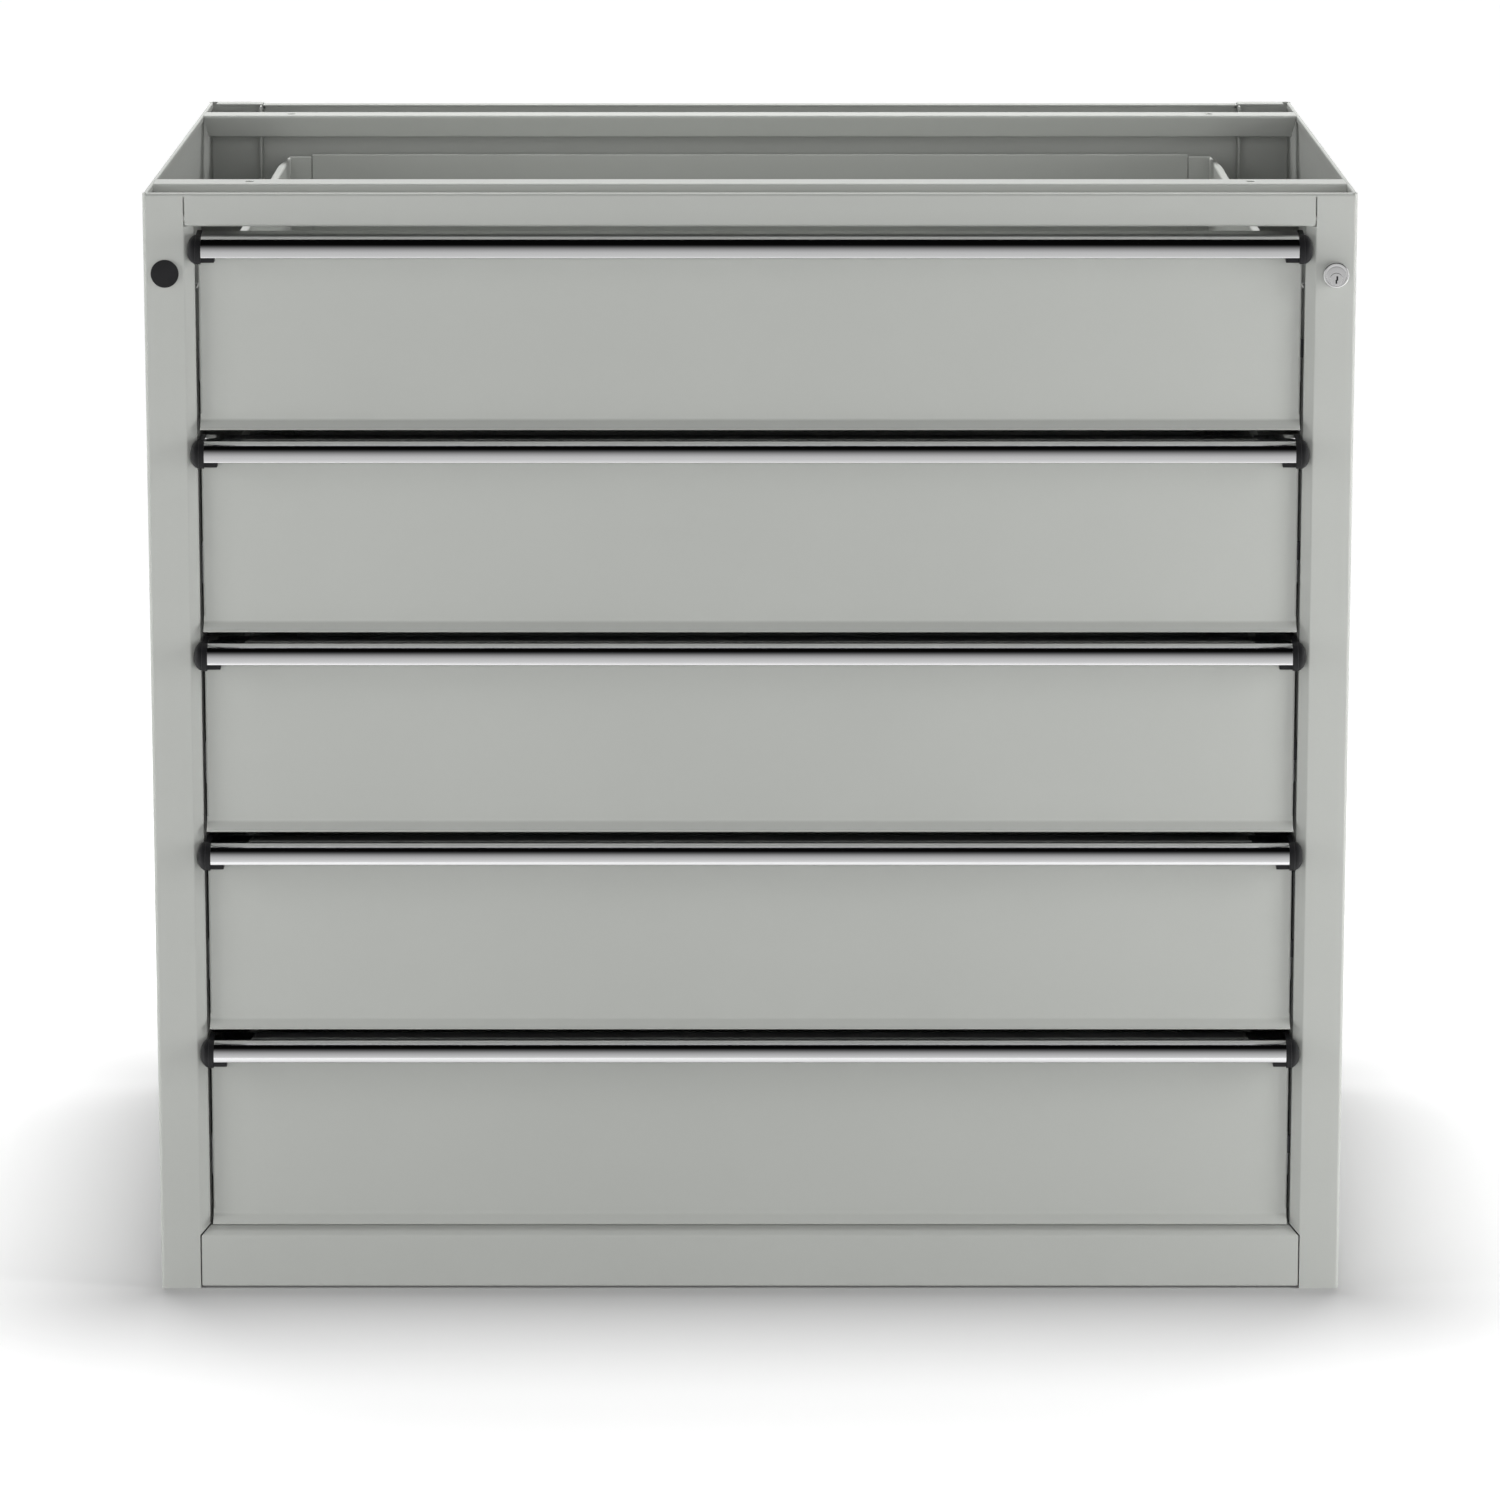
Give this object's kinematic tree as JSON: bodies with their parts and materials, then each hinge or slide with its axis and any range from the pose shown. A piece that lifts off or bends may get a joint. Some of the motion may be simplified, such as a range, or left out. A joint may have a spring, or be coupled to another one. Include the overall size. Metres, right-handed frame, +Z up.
{
  "type": "drawer cabinet",
  "caption": "Low steel workshop cabinet with full-width drawers on roller slides, arched metal grips with plastic end caps, bevelled stiles, central key lock and an open top under a worktop.",
  "frame": {"origin": "middle of the base, at the middle of the box around the closed cabinet", "axes": "+X to the right along the width, +Y from the front to the back, +Z up"},
  "size_m": [0.91, 0.6624, 0.85],
  "materials": {
    "grey_paint": "light grey powder coat, satin, fine orange peel",
    "polished_rail": "bright polished metal, mirror-like along the grip",
    "lock_chrome": "nickel plated, satin face",
    "black_plastic": "moulded black plastic, slightly glossy",
    "zinc_steel": "bright zinc plated",
    "nylon": "off-white nylon"
  },
  "bodies": {
    "cabinet": {"left_side_panel": "grey_paint", "right_side_panel": "grey_paint", "back_panel": "grey_paint", "floor_panel": "grey_paint", "front_top_rail": "grey_paint", "rear_top_rail": "grey_paint", "front_plinth_rail": "grey_paint", "left_front_upright": "grey_paint", "left_rear_upright": "grey_paint", "right_front_upright": "grey_paint", "right_rear_upright": "grey_paint", "cabinet_rails": "zinc_steel", "hole_plug": "black_plastic", "lock_barrel": "lock_chrome", "lock_nut": "zinc_steel", "bar_guide_screws": "zinc_steel"},
    "lock_key": {"lock_key_plug": "lock_chrome", "lock_cam": "zinc_steel"},
    "locking_bar": {"locking_bar": "zinc_steel", "lock_tongues": "zinc_steel"},
    "drawer_1": {"drawer_1_tray": "grey_paint", "drawer_1_front": "grey_paint", "drawer_1_handle_rail": "polished_rail", "drawer_1_end_caps": "black_plastic", "drawer_1_rails": "zinc_steel", "drawer_1_lock_catch": "zinc_steel"},
    "drawer_1_carriage": {"drawer_1_carriages": "zinc_steel", "drawer_1_rollers": "nylon"},
    "drawer_2": {"drawer_2_tray": "grey_paint", "drawer_2_front": "grey_paint", "drawer_2_handle_rail": "polished_rail", "drawer_2_end_caps": "black_plastic", "drawer_2_rails": "zinc_steel", "drawer_2_lock_catch": "zinc_steel"},
    "drawer_2_carriage": {"drawer_2_carriages": "zinc_steel", "drawer_2_rollers": "nylon"},
    "drawer_3": {"drawer_3_tray": "grey_paint", "drawer_3_front": "grey_paint", "drawer_3_handle_rail": "polished_rail", "drawer_3_end_caps": "black_plastic", "drawer_3_rails": "zinc_steel", "drawer_3_lock_catch": "zinc_steel"},
    "drawer_3_carriage": {"drawer_3_carriages": "zinc_steel", "drawer_3_rollers": "nylon"},
    "drawer_4": {"drawer_4_tray": "grey_paint", "drawer_4_front": "grey_paint", "drawer_4_handle_rail": "polished_rail", "drawer_4_end_caps": "black_plastic", "drawer_4_rails": "zinc_steel", "drawer_4_lock_catch": "zinc_steel"},
    "drawer_4_carriage": {"drawer_4_carriages": "zinc_steel", "drawer_4_rollers": "nylon"},
    "drawer_5": {"drawer_5_tray": "grey_paint", "drawer_5_front": "grey_paint", "drawer_5_handle_rail": "polished_rail", "drawer_5_end_caps": "black_plastic", "drawer_5_rails": "zinc_steel", "drawer_5_lock_catch": "zinc_steel"},
    "drawer_5_carriage": {"drawer_5_carriages": "zinc_steel", "drawer_5_rollers": "nylon"}
  },
  "joints": [
    {"name": "locking_bar_slide", "type": "slide", "parent": "cabinet", "child": "locking_bar", "axis": [0, 0, 1], "range_m": [0, 0.0155]},
    {"name": "key_turn", "type": "hinge", "parent": "cabinet", "child": "lock_key", "pos_m": [0.439, -0.3188, 0.7865], "axis": [0, 1, 0], "range_deg": [0, 90]},
    {"name": "drawer_1_slide", "type": "slide", "parent": "cabinet", "child": "drawer_1", "axis": [0, -1, 0], "range_m": [0, 0.55]},
    {"name": "drawer_1_carriage_slide", "type": "slide", "parent": "cabinet", "child": "drawer_1_carriage", "axis": [0, -1, 0], "range_m": [0, 0.275]},
    {"name": "drawer_2_slide", "type": "slide", "parent": "cabinet", "child": "drawer_2", "axis": [0, -1, 0], "range_m": [0, 0.55]},
    {"name": "drawer_2_carriage_slide", "type": "slide", "parent": "cabinet", "child": "drawer_2_carriage", "axis": [0, -1, 0], "range_m": [0, 0.275]},
    {"name": "drawer_3_slide", "type": "slide", "parent": "cabinet", "child": "drawer_3", "axis": [0, -1, 0], "range_m": [0, 0.55]},
    {"name": "drawer_3_carriage_slide", "type": "slide", "parent": "cabinet", "child": "drawer_3_carriage", "axis": [0, -1, 0], "range_m": [0, 0.275]},
    {"name": "drawer_4_slide", "type": "slide", "parent": "cabinet", "child": "drawer_4", "axis": [0, -1, 0], "range_m": [0, 0.55]},
    {"name": "drawer_4_carriage_slide", "type": "slide", "parent": "cabinet", "child": "drawer_4_carriage", "axis": [0, -1, 0], "range_m": [0, 0.275]},
    {"name": "drawer_5_slide", "type": "slide", "parent": "cabinet", "child": "drawer_5", "axis": [0, -1, 0], "range_m": [0, 0.55]},
    {"name": "drawer_5_carriage_slide", "type": "slide", "parent": "cabinet", "child": "drawer_5_carriage", "axis": [0, -1, 0], "range_m": [0, 0.275]}
  ],
  "couplings": [
    {"joint": "key_turn", "follows": "locking_bar_slide", "rad_per_m": 101},
    {"joint": "drawer_1_carriage_slide", "follows": "drawer_1_slide", "ratio": 0.5},
    {"joint": "drawer_2_carriage_slide", "follows": "drawer_2_slide", "ratio": 0.5},
    {"joint": "drawer_3_carriage_slide", "follows": "drawer_3_slide", "ratio": 0.5},
    {"joint": "drawer_4_carriage_slide", "follows": "drawer_4_slide", "ratio": 0.5},
    {"joint": "drawer_5_carriage_slide", "follows": "drawer_5_slide", "ratio": 0.5}
  ]
}
